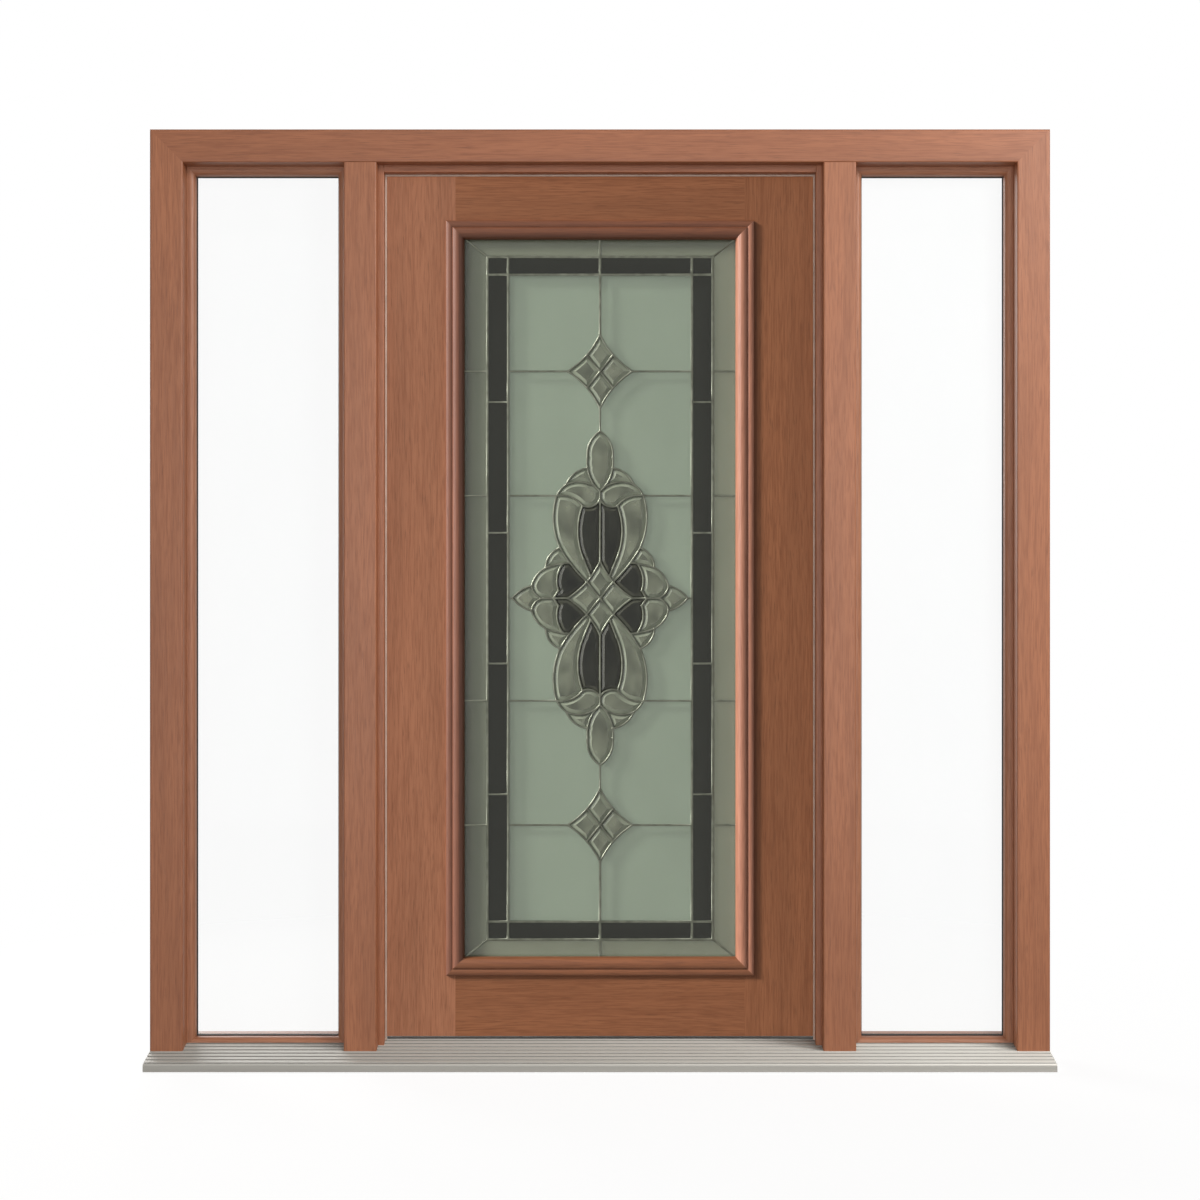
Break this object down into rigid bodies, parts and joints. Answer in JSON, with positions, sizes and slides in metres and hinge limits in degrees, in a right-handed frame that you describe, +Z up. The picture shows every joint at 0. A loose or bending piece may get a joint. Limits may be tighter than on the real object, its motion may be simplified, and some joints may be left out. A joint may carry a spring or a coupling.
{
  "type": "entrance door set with leadlight leaf and sidelights",
  "caption": "Hardwood entrance door set with a hinged leadlight leaf, clear glazed sidelights and a ribbed metal sill.",
  "frame": {"origin": "on the sill's underside, midway along it, directly below the front face of the frame", "axes": "+X to the right seen from outside, +Y into the building, +Z up"},
  "size_m": [2.1, 0.2015, 2.1828],
  "materials": {
    "hardwood": "red-brown stained hardwood, satin clear coat, straight grain",
    "sill_aluminium": "mill finish extruded aluminium, ribbed",
    "clear_glass": "clear float glass",
    "black_gasket": "matt extruded glazing gasket",
    "pale_seal": "pale foam-filled weather seal",
    "hinge_brass": "brushed brass butt hinge",
    "lead_came": "dulled lead with soldered joints",
    "clear_bevel_glass": "clear bevelled glass over a grey-green obscure pane",
    "charcoal_glass": "charcoal glass with polished bevels",
    "obscure_glass": "etched grey-green obscure glass",
    "spacer_metal": "dark anodised edge spacer"
  },
  "bodies": {
    "frame": {"left_jamb": "hardwood", "right_jamb": "hardwood", "head": "hardwood", "left_mullion": "hardwood", "right_mullion": "hardwood", "sill": "sill_aluminium", "left_sill_end_cap": "sill_aluminium", "right_sill_end_cap": "sill_aluminium", "left_sidelight_outer_bead": "hardwood", "left_sidelight_inner_bead": "hardwood", "left_sidelight_top_bead": "hardwood", "left_sidelight_bottom_bead": "hardwood", "right_sidelight_outer_bead": "hardwood", "right_sidelight_inner_bead": "hardwood", "right_sidelight_top_bead": "hardwood", "right_sidelight_bottom_bead": "hardwood", "left_sidelight_gasket": "black_gasket", "left_sidelight_glass": "clear_glass", "right_sidelight_gasket": "black_gasket", "right_sidelight_glass": "clear_glass", "left_door_seal": "pale_seal", "right_door_seal": "pale_seal", "top_door_seal": "pale_seal", "frame_hinge_plates": "hinge_brass"},
    "leaf": {"hinge_stile": "hardwood", "lock_stile": "hardwood", "top_rail": "hardwood", "bottom_rail": "hardwood", "front_moulding_left": "hardwood", "front_moulding_right": "hardwood", "front_moulding_bottom": "hardwood", "front_moulding_top": "hardwood", "back_moulding_left": "hardwood", "back_moulding_right": "hardwood", "back_moulding_bottom": "hardwood", "back_moulding_top": "hardwood", "leadlight_came": "lead_came", "outer_border_glass": "clear_bevel_glass", "dark_border_glass": "charcoal_glass", "field_glass": "clear_bevel_glass", "motif_clear_bevels": "clear_bevel_glass", "motif_dark_bevels": "charcoal_glass", "rear_obscure_pane": "obscure_glass", "glass_edge_spacer": "spacer_metal", "leaf_hinge_plates": "hinge_brass"}
  },
  "joints": [
    {"name": "leaf_hinge", "type": "hinge", "parent": "frame", "child": "leaf", "pos_m": [-0.51325, 0.121, 1.09], "axis": [0, 0, 1], "range_deg": [0, 100]}
  ]
}
